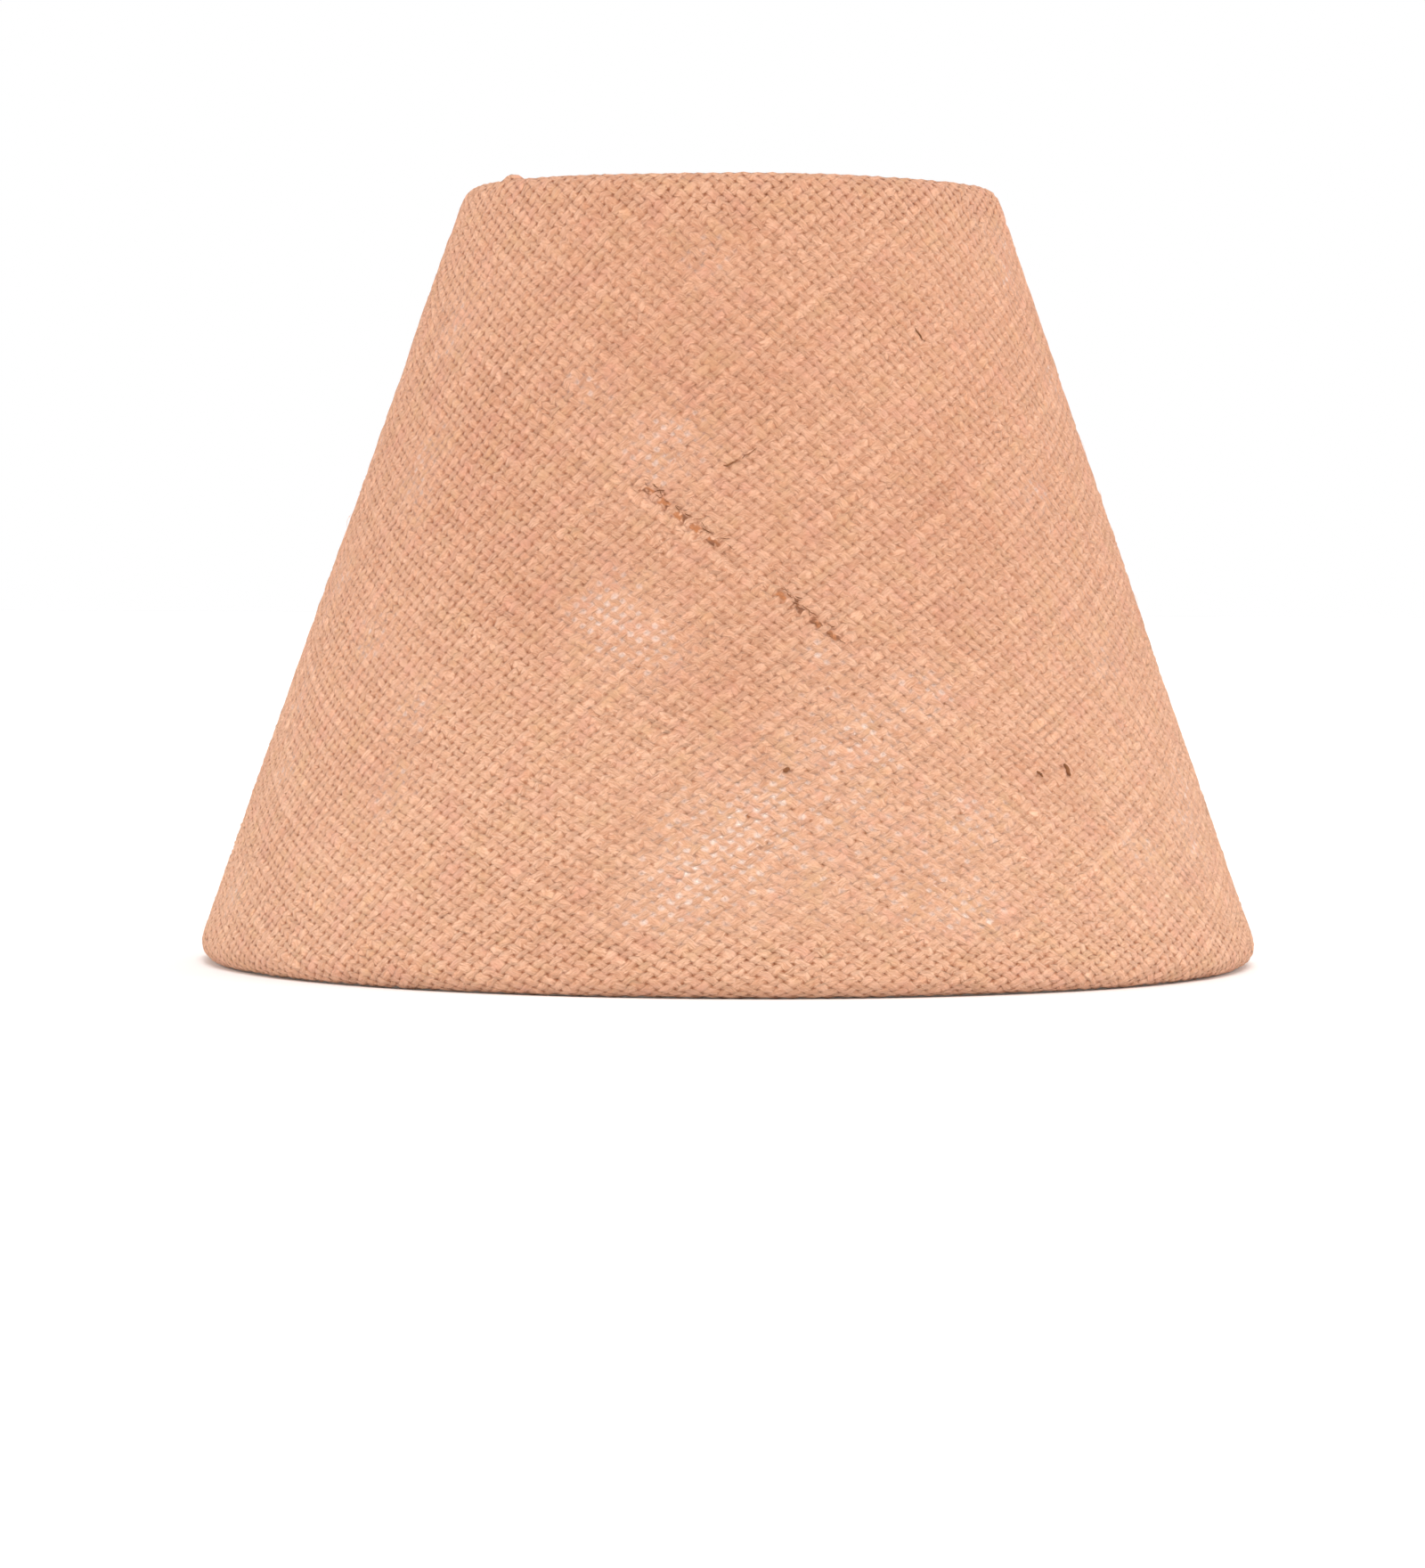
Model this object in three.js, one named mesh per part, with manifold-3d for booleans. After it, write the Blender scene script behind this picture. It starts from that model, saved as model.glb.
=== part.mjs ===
// Empire lamp shade with a hard back: bias-cut jute hessian glued over a rolled plastic liner.
// A plain wire ring stiffens the top edge. The bottom ring carries three arms and a pressed
// carrier ring, whose hole drops over a lampholder.
// Millimetres, +Z up along the shade's axis, origin at the centre of the bottom rim's resting plane.

import * as THREE from 'three';
import { mergeVertices } from 'three/addons/utils/BufferGeometryUtils.js';
import Module from 'manifold-3d';

const wasm = await Module();
wasm.setup();

// Overall size, over the outside of the cloth
const bottomDiameter = 300;
const topDiameter = 153;
const height = 220;

// Stock that the pieces are made from
const clothThickness = 1.6;
const linerThickness = 0.5;
const ringWire = 4;
const armWire = 3;
const plateThickness = 1.2;

// Play between pieces that touch or are glued
const touchGap = 0.3;

// Liner: one sheet rolled into a cone, its ends lapped at the back
const linerLap = 12;

// Turned-in cloth: it leaves the ring at this slant and lies on the liner for this length
const turnInSlant = THREE.MathUtils.degToRad(40);
const turnInFlat = 10;

// Carrier ring: the seat's underside is this far above the bottom rim
const carrierHole = 42;
const seatWidth = 6.8;
const carrierRise = 18;
const flangeHeight = 4;
const flangeFillet = 2;

// Arms: bent wires, evenly spaced, the first one at the back
const armCount = 3;
const firstArmAngle = Math.PI / 2;
const armBend = 5;
const notchPlay = 1.5;

// How finely round shapes are divided
const coneSteps = 72;
const carrierSteps = 48;
const rollSteps = 4;
const filletSteps = 3;
const bendSteps = 4;
const ringSides = 10;
const armSides = 10;

// One full turn of the liner climbs by its own thickness and a gap, so that its lap clears itself
const rollPitch = linerThickness + touchGap;
const lapAngle = linerLap / (bottomDiameter / 2);
const linerInside = ringWire / 2 + touchGap;
const linerOutside = linerInside + linerThickness + rollPitch * (1 + lapAngle / (2 * Math.PI));

// Distance from a ring's centre to the middle of the cloth, outside the liner and inside the ring
const clothOutside = linerOutside + touchGap + clothThickness / 2;
const clothInside = ringWire / 2 + touchGap + clothThickness / 2;
const rimRadius = clothOutside + clothThickness / 2;

// Ring centres, as radius and height in the shade's section
const bottomRing = new THREE.Vector2(bottomDiameter / 2 - rimRadius, rimRadius);
const topRing = new THREE.Vector2(topDiameter / 2 - rimRadius, height - rimRadius);

// Directions in the section: up the cone's side, and square out of it
const upTheSide = topRing.clone().sub(bottomRing).normalize();
const outOfSide = new THREE.Vector2(upTheSide.y, -upTheSide.x);
const coneHalfAngle = Math.atan2(-upTheSide.x, upTheSide.y);

// Point of the section at a distance up the side and a distance out of it, from a ring's centre
function sidePoint(ring, up, out) {
  return ring.clone().addScaledVector(upTheSide, up).addScaledVector(outOfSide, out);
}

// Turns a closed section, given as radius and height, into a solid of revolution about Z
function revolve(section, steps) {
  const geometry = new THREE.LatheGeometry([...section, section[0]], steps);
  geometry.rotateX(Math.PI / 2);
  return geometry;
}

// Closed section of a band whose middle follows the points of a line
function bandSection(line, thickness) {
  const left = [];
  const right = [];
  line.forEach((point, i) => {
    const before = line[Math.max(i - 1, 0)];
    const after = line[Math.min(i + 1, line.length - 1)];
    const along = after.clone().sub(before).normalize();
    const across = new THREE.Vector2(-along.y, along.x).multiplyScalar(thickness / 2);
    left.push(point.clone().add(across));
    right.push(point.clone().sub(across));
  });
  return [...right, ...left.reverse()];
}

// Middle of the cloth round one ring, from the outer side to the raw edge on the liner's inside.
// Beyond is 1 at the top ring and -1 at the bottom ring. The roll keeps its full size as far as
// its crest, the point that stands furthest up or down, and then closes in on the ring.
function hemLine(ring, beyond) {
  const crest = Math.PI / 2 - beyond * coneHalfAngle;
  const end = Math.PI + turnInSlant;
  const line = [];
  for (let i = 0; i <= 2 * rollSteps; i += 1) {
    const pastCrest = Math.max(i / rollSteps - 1, 0);
    const angle = crest * Math.min(i / rollSteps, 1) + (end - crest) * pastCrest;
    const share = THREE.MathUtils.clamp((angle - crest) / (Math.PI - crest), 0, 1);
    const reach = THREE.MathUtils.lerp(clothOutside, clothInside, share);
    line.push(sidePoint(ring, beyond * reach * Math.sin(angle), reach * Math.cos(angle)));
  }
  const meets = ringWire / 2 - clothThickness / 2;
  const climb = (meets + clothInside * Math.cos(turnInSlant)) / Math.sin(turnInSlant);
  const lands = clothInside * Math.sin(turnInSlant) + climb * Math.cos(turnInSlant);
  line.push(sidePoint(ring, -beyond * lands, meets));
  line.push(sidePoint(ring, -beyond * (lands + turnInFlat), meets));
  return line;
}

// How far the turned-in cloth reaches up the side from the bottom ring's centre
function turnInReach() {
  const rawEdge = hemLine(bottomRing, -1).pop();
  return rawEdge.sub(bottomRing).dot(upTheSide);
}

// Closed three.js geometry as a manifold solid, and back again
function toSolid(geometry) {
  const bare = geometry.clone();
  bare.deleteAttribute('normal');
  bare.deleteAttribute('uv');
  const merged = mergeVertices(bare);
  return new wasm.Manifold(new wasm.Mesh({
    numProp: 3,
    vertProperties: new Float32Array(merged.attributes.position.array),
    triVerts: new Uint32Array(merged.index.array),
  }));
}

function toGeometry(solid) {
  const mesh = solid.getMesh();
  const geometry = new THREE.BufferGeometry();
  geometry.setAttribute('position', new THREE.BufferAttribute(new Float32Array(mesh.vertProperties), 3));
  geometry.setIndex(new THREE.BufferAttribute(new Uint32Array(mesh.triVerts), 1));
  geometry.computeVertexNormals();
  return geometry;
}

// Block that cuts the turned-in cloth away round one arm, from the raw edge down to the ring
function notchCutter(angle) {
  const below = touchGap;
  const above = turnInReach() + touchGap;
  const inner = clothInside + clothThickness;
  const outer = ringWire / 2 + touchGap / 2;
  const middle = sidePoint(bottomRing, (above - below) / 2, (outer - inner) / 2);
  const cutter = new THREE.BoxGeometry(outer + inner, armWire + 2 * notchPlay, above + below);
  cutter.rotateY(-coneHalfAngle);
  cutter.translate(middle.x, 0, middle.y);
  cutter.rotateZ(angle);
  return cutter;
}

// Cloth: up the outside of the liner, rolled over both rings and turned in, notched at the arms
function coverGeometry() {
  const line = [...hemLine(bottomRing, -1).reverse(), ...hemLine(topRing, 1)];
  let solid = toSolid(revolve(bandSection(line, clothThickness), coneSteps));
  for (const angle of armAngles()) {
    solid = solid.subtract(toSolid(notchCutter(angle)));
  }
  return toGeometry(solid);
}

// Liner: a flat strip, divided along its length, rolled into a cone with its end lapped over its start
function linerGeometry() {
  const turn = 2 * Math.PI + lapAngle;
  const steps = Math.round((coneSteps * turn) / (2 * Math.PI));
  const sheet = new THREE.BoxGeometry(1, 1, 1, steps, 1, 1);
  const corners = sheet.attributes.position;
  for (let i = 0; i < corners.count; i += 1) {
    const angle = turn * (corners.getX(i) + 0.5);
    const through = linerThickness * (0.5 - corners.getY(i));
    const out = linerInside + through + (rollPitch * angle) / (2 * Math.PI);
    const edge = sidePoint(corners.getZ(i) < 0 ? bottomRing : topRing, 0, out);
    const around = firstArmAngle - lapAngle / 2 + angle;
    corners.setXYZ(i, edge.x * Math.cos(around), edge.x * Math.sin(around), edge.y);
  }
  sheet.computeVertexNormals();
  return sheet;
}

// Plain ring of round wire
function ringGeometry(ring) {
  const geometry = new THREE.TorusGeometry(ring.x, ringWire / 2, ringSides, coneSteps);
  geometry.translate(0, 0, ring.y);
  return geometry;
}

function armAngles() {
  return Array.from({ length: armCount }, (_, i) => firstArmAngle + (2 * Math.PI * i) / armCount);
}

// Pressed carrier ring: a flat seat round the hole, with its outer edge turned down as a flange
const seatTop = carrierRise + plateThickness;
const carrierRadius = carrierHole / 2 + seatWidth + plateThickness;

function carrierGeometry() {
  const flangeFoot = seatTop - flangeHeight;
  const filletX = carrierRadius - flangeFillet;
  const filletZ = seatTop - flangeFillet;
  const innerFillet = flangeFillet - plateThickness;
  const outside = [];
  const inside = [];
  for (let i = 0; i <= filletSteps; i += 1) {
    const angle = (Math.PI / 2) * (i / filletSteps);
    const turned = new THREE.Vector2(Math.cos(angle), Math.sin(angle));
    const centre = new THREE.Vector2(filletX, filletZ);
    outside.push(centre.clone().addScaledVector(turned, flangeFillet));
    inside.push(centre.clone().addScaledVector(turned, innerFillet));
  }
  const section = [
    new THREE.Vector2(carrierRadius - plateThickness, flangeFoot),
    new THREE.Vector2(carrierRadius, flangeFoot),
    ...outside,
    new THREE.Vector2(carrierHole / 2, seatTop),
    new THREE.Vector2(carrierHole / 2, carrierRise),
    ...inside.reverse(),
  ];
  return revolve(section, carrierSteps);
}

// Round wire in the section's plane: each ring of a divided cylinder is moved to one point of the line
function wireGeometry(line, thickness) {
  const wire = new THREE.CylinderGeometry(thickness / 2, thickness / 2, 1, armSides, line.length - 1);
  const corners = wire.attributes.position;
  for (let i = 0; i < corners.count; i += 1) {
    const station = Math.round((corners.getY(i) + 0.5) * (line.length - 1));
    const before = line[Math.max(station - 1, 0)];
    const after = line[Math.min(station + 1, line.length - 1)];
    const along = after.clone().sub(before).normalize();
    const side = corners.getX(i);
    const x = line[station].x + along.y * side;
    const z = line[station].y - along.x * side;
    corners.setXYZ(i, x, -corners.getZ(i), z);
  }
  wire.computeVertexNormals();
  return wire;
}

// Arm: a short riser beside the bottom ring, a bend, and a level run in to the carrier's flange
function armGeometry(angle) {
  const armHeight = seatTop - flangeHeight / 2;
  const foot = sidePoint(bottomRing, 0, -(ringWire / 2 + touchGap + armWire / 2));
  const riser = (armHeight - foot.y) / upTheSide.y;
  const corner = foot.clone().addScaledVector(upTheSide, riser);
  const turn = Math.PI / 2 - coneHalfAngle;
  const setback = armBend * Math.tan(turn / 2);
  const bendCentre = new THREE.Vector2(corner.x - setback, armHeight - armBend);
  const line = [foot];
  for (let i = 0; i <= bendSteps; i += 1) {
    const swing = coneHalfAngle + (turn * i) / bendSteps;
    line.push(new THREE.Vector2(Math.cos(swing), Math.sin(swing)).multiplyScalar(armBend).add(bendCentre));
  }
  line.push(new THREE.Vector2(carrierRadius + touchGap, armHeight));
  const geometry = wireGeometry(line, armWire);
  geometry.rotateZ(angle);
  return geometry;
}

function fabric() {
  return new THREE.MeshStandardMaterial({ color: 0xdfae8c, roughness: 0.95, metalness: 0 });
}

function plasticSheet() {
  return new THREE.MeshStandardMaterial({ color: 0xf1ece4, roughness: 0.6, metalness: 0 });
}

function paintedSteel() {
  return new THREE.MeshStandardMaterial({ color: 0xe9e7e2, roughness: 0.45, metalness: 0.1 });
}

function addPiece(name, geometry, material) {
  const piece = new THREE.Mesh(geometry, material);
  piece.name = name;
  group.add(piece);
}

const group = new THREE.Group();
addPiece('cover', coverGeometry(), fabric());
addPiece('liner', linerGeometry(), plasticSheet());
addPiece('top_ring', ringGeometry(topRing), paintedSteel());
addPiece('bottom_ring', ringGeometry(bottomRing), paintedSteel());
addPiece('carrier_ring', carrierGeometry(), paintedSteel());
armAngles().forEach((angle, i) => addPiece(`arm_${i + 1}`, armGeometry(angle), paintedSteel()));

export default group;
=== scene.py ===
import math

import bmesh
import bpy
import numpy as np
from mathutils import Matrix, Vector


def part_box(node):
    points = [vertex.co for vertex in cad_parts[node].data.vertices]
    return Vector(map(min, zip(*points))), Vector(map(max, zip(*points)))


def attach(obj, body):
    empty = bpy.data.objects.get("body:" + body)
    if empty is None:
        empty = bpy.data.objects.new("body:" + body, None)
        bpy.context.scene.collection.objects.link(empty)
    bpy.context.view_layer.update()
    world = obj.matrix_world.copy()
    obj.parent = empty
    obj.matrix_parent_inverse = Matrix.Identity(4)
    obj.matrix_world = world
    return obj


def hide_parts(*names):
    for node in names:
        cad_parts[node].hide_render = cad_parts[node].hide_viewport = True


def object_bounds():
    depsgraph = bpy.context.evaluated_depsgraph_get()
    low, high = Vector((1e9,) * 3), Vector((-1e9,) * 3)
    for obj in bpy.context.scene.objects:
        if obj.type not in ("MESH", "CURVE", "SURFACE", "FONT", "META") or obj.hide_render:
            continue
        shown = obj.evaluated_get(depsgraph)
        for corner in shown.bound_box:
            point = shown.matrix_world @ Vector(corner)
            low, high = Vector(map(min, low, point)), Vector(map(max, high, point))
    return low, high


# Empire lamp shade with a hard back: bias-cut jute hessian over a rolled plastic liner, on a wire frame.
# Metres in the scene. The cloth is worked out flat in millimetres, as it lies before it is rolled up:
# x to the right and y up from the bottom rim, along the line down the middle of the front.
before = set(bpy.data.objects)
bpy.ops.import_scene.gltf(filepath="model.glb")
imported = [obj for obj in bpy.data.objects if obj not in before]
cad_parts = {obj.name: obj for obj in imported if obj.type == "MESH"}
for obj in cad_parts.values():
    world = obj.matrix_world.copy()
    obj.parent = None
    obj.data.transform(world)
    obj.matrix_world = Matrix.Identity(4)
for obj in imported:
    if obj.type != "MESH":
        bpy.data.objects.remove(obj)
cadLow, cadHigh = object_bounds()
mm = 0.001


def linearColour(hexText):  # sRGB hex to the linear values that shaders and lights use
    channels = [int(hexText[i:i + 2], 16) / 255 for i in (0, 2, 4)]
    return [c / 12.92 if c <= 0.04045 else ((c + 0.055) / 1.055) ** 2.4 for c in channels] + [1.0]


def addNode(tree, kind, settings=None, inputs=None):  # inputs by name or in order, linked or set
    made = tree.nodes.new(kind)
    for name, value in (settings or {}).items():
        setattr(made, name, value)
    given = inputs if isinstance(inputs, dict) else dict(enumerate(inputs or ()))
    for name, value in given.items():
        if isinstance(value, bpy.types.NodeSocket):
            tree.links.new(value, made.inputs[name])
        else:
            made.inputs[name].default_value = value
    return made


def newMaterial(name):
    made = bpy.data.materials.new(name)
    made.use_nodes = True
    made.node_tree.nodes.clear()
    return made, made.node_tree


def addObject(name, data):
    made = bpy.data.objects.new(name, data)
    bpy.context.scene.collection.objects.link(made)
    return made


def smoothStep(value, low, high):  # eased from 0 to 1 between the two limits
    share = np.clip((value - low) / (high - low), 0, 1)
    return share * share * (3 - 2 * share)


def deselectAll():
    if bpy.context.object and bpy.context.object.mode != "OBJECT":
        bpy.ops.object.mode_set(mode="OBJECT")
    bpy.ops.object.select_all(action="DESELECT")


def makeActive(piece):
    deselectAll()
    piece.select_set(True)
    bpy.context.view_layer.objects.active = piece


def applyModifier(piece, kind, **settings):
    makeActive(piece)
    modifier = piece.modifiers.new(kind.lower(), kind)
    for name, value in settings.items():
        setattr(modifier, name, value)
    bpy.ops.object.modifier_apply(modifier=modifier.name)


def finishPiece(piece, name, material, replaced=(), smoothAngle=50):
    piece.name = name
    makeActive(piece)
    bpy.ops.object.transform_apply(location=True, rotation=True, scale=True)
    bpy.ops.object.shade_smooth_by_angle(angle=math.radians(smoothAngle))
    piece.data.materials.clear()
    piece.data.materials.append(material)
    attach(piece, "root")
    if replaced:
        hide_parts(*replaced)
    return piece


# Camera, floor and light: metres and degrees, with the lens and its sensor in mm
studio = dict(
    distance=1.626, height=0.1121, sideways=-0.0045, pitchDown=2.17, roll=0.3,
    lens=130.8, sensor=36, nearest=0.05,
    floorRadius=12.0, floorSides=96, roomLight=0.50,
    lights=[  # name, where it comes from, strength, softness
        ("key_light", (0.1, -1.4, 1.6), 1.75, 30),
        ("left_light", (-2.0, -0.3, 0.7), 1.5, 50),
        ("right_light", (2.0, -0.3, 0.7), 1.55, 50),
        ("behind_light", (0.5, 2.0, 1.0), 0.6, 50),
    ],
)


def makeCamera():
    data = bpy.data.cameras.new("studio_camera")
    data.sensor_width = studio["sensor"]
    data.lens = studio["lens"]
    data.clip_start = studio["nearest"]
    camera = addObject("studio_camera", data)
    camera.location = (studio["sideways"], -studio["distance"], studio["height"])
    tilt = Matrix.Rotation(math.radians(90 - studio["pitchDown"]), 4, "X")
    camera.rotation_euler = (tilt @ Matrix.Rotation(math.radians(studio["roll"]), 4, "Z")).to_euler()
    bpy.context.scene.camera = camera


def addSoftLight(name, comesFrom, strength, softness):  # a wide, even light from one side
    data = bpy.data.lights.new(name, "SUN")
    data.energy = strength
    data.angle = math.radians(softness)
    lamp = addObject(name, data)
    lamp.location = comesFrom
    lamp.rotation_euler = Vector(comesFrom).to_track_quat("Z", "Y").to_euler()


def makeStudio():
    world = bpy.data.worlds.new("studio_white")
    bpy.context.scene.world = world
    world.use_nodes = True
    room = world.node_tree
    room.nodes.clear()
    # The backdrop is pure white to look at, and lights the shade more gently than it looks
    seen = addNode(room, "ShaderNodeLightPath")
    strength = addNode(room, "ShaderNodeMix", {}, {
        "Factor": seen.outputs["Is Camera Ray"], "A": studio["roomLight"], "B": 1.0})
    backdrop = addNode(room, "ShaderNodeBackground", {}, {
        "Color": linearColour("ffffff"), "Strength": strength.outputs["Result"]})
    addNode(room, "ShaderNodeOutputWorld", {}, {"Surface": backdrop.outputs["Background"]})
    # Painted studio board: matt and pale, so that the shade's own colour stands alone
    board, tree = newMaterial("matt_white_board")
    place = addNode(tree, "ShaderNodeTexCoord")
    mottle = addNode(tree, "ShaderNodeTexNoise", {}, {"Vector": place.outputs["Object"], "Scale": 3.0})
    tint = addNode(tree, "ShaderNodeMix", {"data_type": "RGBA"}, {
        "Factor": mottle.outputs["Fac"], "A": linearColour("f8f7f6"), "B": linearColour("fdfcfb")})
    shader = addNode(tree, "ShaderNodeBsdfPrincipled", {}, {
        "Base Color": tint.outputs["Result"], "Roughness": 0.9, "Specular IOR Level": 0.1})
    addNode(tree, "ShaderNodeOutputMaterial", {}, {"Surface": shader.outputs["BSDF"]})
    deselectAll()
    bpy.ops.mesh.primitive_circle_add(
        vertices=studio["floorSides"], radius=studio["floorRadius"], fill_type="NGON")
    floor = bpy.context.object
    floor.name = "studio_floor"
    floor.data.materials.append(board)
    for light in studio["lights"]:
        addSoftLight(*light)
    bpy.context.scene.view_settings.view_transform = "Standard"


makeCamera()
makeStudio()
print("camera, floor and lights are placed")

# The section that everything follows: the ring centres, and the line up the side between them
wireSize = dict(ring=4.0, arm=3.0)  # mm


def ringCentre(node):  # radius and height, in mm
    low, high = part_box(node)
    return np.array([high.x / mm - wireSize["ring"] / 2, (low.z + high.z) / 2 / mm])


bottomRing = ringCentre("bottom_ring")
topRing = ringCentre("top_ring")
slant = float(np.linalg.norm(topRing - bottomRing))
upSide = (topRing - bottomRing) / slant
outSide = np.array([upSide[1], -upSide[0]])
sinCone, cosCone = -upSide[0], upSide[1]
coneAngle = math.asin(sinCone)  # between the side and the upright
rimRadius = bottomRing[1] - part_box("cover")[0].z / mm  # from a ring's centre to the cloth's crests


def sidePoint(ring, up, out):
    return ring + upSide * up + outSide * out


# Cloth: its line in section, from the raw edge inside the bottom to the raw edge inside the top
cloth = dict(
    threadStep=2.92,          # mm along a thread, from one crossing to the next
    overDirection=141.5, overBend=-0.0017,    # the threads that run up to the left: degrees, rad per mm
    underDirection=41.7, underBend=0.00086,   # the threads that run up to the right
    bendReach=150.0,          # mm over which the bend eases off
    netCentre=(0.0, 115.0),   # the crossing on the flat cloth that both families are drawn from
    halfSteps=340,            # half steps each way, enough to cover the whole cut
    jitter=0.20, waviness=0.20,               # mm that a whole thread, and places along it, stray
    wanderStep=8,             # half steps from one stray place to the next
    thickness=0.8, relief=0.30,
    yarnUneven=0.16, crossingUneven=0.18,     # differences in the relief, from yarn to yarn and within them
    swells=14, swellSpan=(40, 160), swellSize=0.035,  # the cloth isn't quite flat on its backing
    insideRing=3.1,           # from a ring's centre to the cloth's face where it has turned inward
    turnInSlant=40.0,         # degrees from the side at which it leaves the ring
    turnInFlat=10.0,          # the width that lies flat along the liner
    onLiner=1.3,              # the cloth's face there, out from the line between the ring centres
    notchTop=-15.7,           # the cut round an arm ends here, beside the ring: mm from the start of the side
    notchHalf=3.4,
    seamBehind=0.20,          # the folded edge stands this many radians past the middle of the back
    lap=0.09, foldUnder=0.055,                # radians of cloth beneath the seam, and folded under
    foldRadius=0.82, plies=(1.08, 1.06),      # how far each layer lifts the next, in fold radii
    lapEase=(0.05, 0.008), foldEase=0.02, underEase=0.03,  # radians over which the layers rise
    sinkStart=(-2, 3), bottomSink=(10.5, 15), topSink=(7, 12),  # mm round a roll where the seam lies level
    tuckAngle=-58.0, tuckPast=6.0,            # degrees from the front, and mm past the end of the side
    tuckHeight=1.8, tuckWidth=2.8, tuckLength=4.5, tuckRadius=75.0,
    sampleStep=0.25, cornerEase=5,            # mm between samples of its line, and samples that ease a corner
    seed=7, keptShare=0.9,    # the share of its triangles that stay when its back is thinned
)
faceOut = rimRadius - cloth["relief"]  # from a ring's centre to the cloth's mean face
foldAngle = math.pi + cloth["seamBehind"]
startAngle = foldAngle - 2 * math.pi - cloth["lap"]
endAngle = foldAngle + cloth["foldUnder"]
apexToBottom = (bottomRing[0] + faceOut * cosCone) / sinCone
apexToRim = apexToBottom + 7.8  # the rim's edge lies this far below the bottom ring, down the slant


def hemLine(ring, beyond):  # from the side round a ring and back along the liner; beyond is 1 up or -1 down
    crest = math.pi / 2 - beyond * coneAngle
    slantIn = math.radians(cloth["turnInSlant"])
    inside = cloth["insideRing"]
    line = []
    for angle in np.linspace(0, math.pi + slantIn, 60):
        reach = faceOut + (inside - faceOut) * smoothStep(angle, crest, math.pi)
        line.append(sidePoint(ring, beyond * reach * math.sin(angle), reach * math.cos(angle)))
    climb = (cloth["onLiner"] + inside * math.cos(slantIn)) / math.sin(slantIn)
    lands = inside * math.sin(slantIn) + climb * math.cos(slantIn)
    line.append(sidePoint(ring, -beyond * lands, cloth["onLiner"]))
    line.append(sidePoint(ring, -beyond * (lands + cloth["turnInFlat"]), cloth["onLiner"]))
    return np.array(line)


def sampleLine(line, step):
    lengths = np.concatenate([[0], np.cumsum(np.linalg.norm(np.diff(line, axis=0), axis=1))])
    stations = np.arange(0, lengths[-1], step)
    return np.stack([np.interp(stations, lengths, line[:, k]) for k in (0, 1)], axis=1), stations


def easeLine(line, reach):  # eases the corners over a few samples and leaves the ends alone
    weights = np.hanning(2 * reach + 3)[1:-1]
    weights = weights / weights.sum()
    padded = np.pad(line, ((reach, reach), (0, 0)), mode="edge")
    eased = np.stack([np.convolve(padded[:, k], weights, mode="valid") for k in (0, 1)], axis=1)
    eased[:reach + 1], eased[-reach - 1:] = line[:reach + 1], line[-reach - 1:]
    return eased


bottomHem = hemLine(bottomRing, -1)[::-1]
belowRing = float(np.linalg.norm(np.diff(bottomHem, axis=0), axis=1).sum())
wholeLine = np.concatenate([bottomHem, hemLine(topRing, 1)])
clothLine, clothStations = sampleLine(wholeLine, cloth["sampleStep"])
clothLine = easeLine(clothLine, cloth["cornerEase"])
clothStations = clothStations - belowRing  # 0 beside the bottom ring, rising up the side
clothAlong = np.gradient(clothLine, axis=0)
clothAlong /= np.linalg.norm(clothAlong, axis=1)[:, None]
lowestStation, highestStation = clothStations[0], clothStations[-1]


def clothRadius(station):
    return np.interp(station, clothStations, clothLine[:, 0])


def ontoShade(angle, station, out):  # angle from the front, to the right; out from the cloth's mean face
    radius, height, alongR, alongZ = (
        np.interp(station, clothStations, v) for v in (*clothLine.T, *clothAlong.T))
    radius = radius + alongZ * out
    height = height - alongR * out
    return np.stack([radius * np.sin(angle), -radius * np.cos(angle), height], axis=-1) * mm


def flatToPolar(x, y):  # flat cloth to the angle round the shade and the station up its side
    across, below = x, apexToRim - y
    angle = np.arctan2(across, below) / sinCone
    return angle, apexToBottom - np.hypot(across, below)


def polarToFlat(angle, station):
    below = apexToBottom - station
    return below * np.sin(angle * sinCone), apexToRim - below * np.cos(angle * sinCone)


# Cloth: the net of threads, drawn flat
def threadCurve(direction, bend, halfSteps):  # places at every half step along one thread
    fine = 20  # samples to a half step
    reach = cloth["bendReach"]
    steps = np.arange(-halfSteps * fine, halfSteps * fine + 1) / fine / 2 * cloth["threadStep"]
    turned = math.radians(direction) + bend * reach * np.tanh(steps / reach)
    heading = np.stack([np.cos(turned), np.sin(turned)], axis=1)
    gaps = np.diff(steps)[:, None]
    places = np.concatenate([[[0, 0]], np.cumsum((heading[1:] + heading[:-1]) / 2 * gaps, axis=0)])
    places -= places[halfSteps * fine]
    return places[::fine], heading[::fine]


def threadWander(rng, count, length, size):  # how far each thread strays to its side, along its length
    coarse = rng.normal(size=(count, length // cloth["wanderStep"] + 3))
    stations = np.arange(length) / cloth["wanderStep"]
    whole = stations.astype(int)
    part = smoothStep(stations - whole, 0, 1)
    return size * (coarse[:, whole] * (1 - part) + coarse[:, whole + 1] * part)


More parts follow.
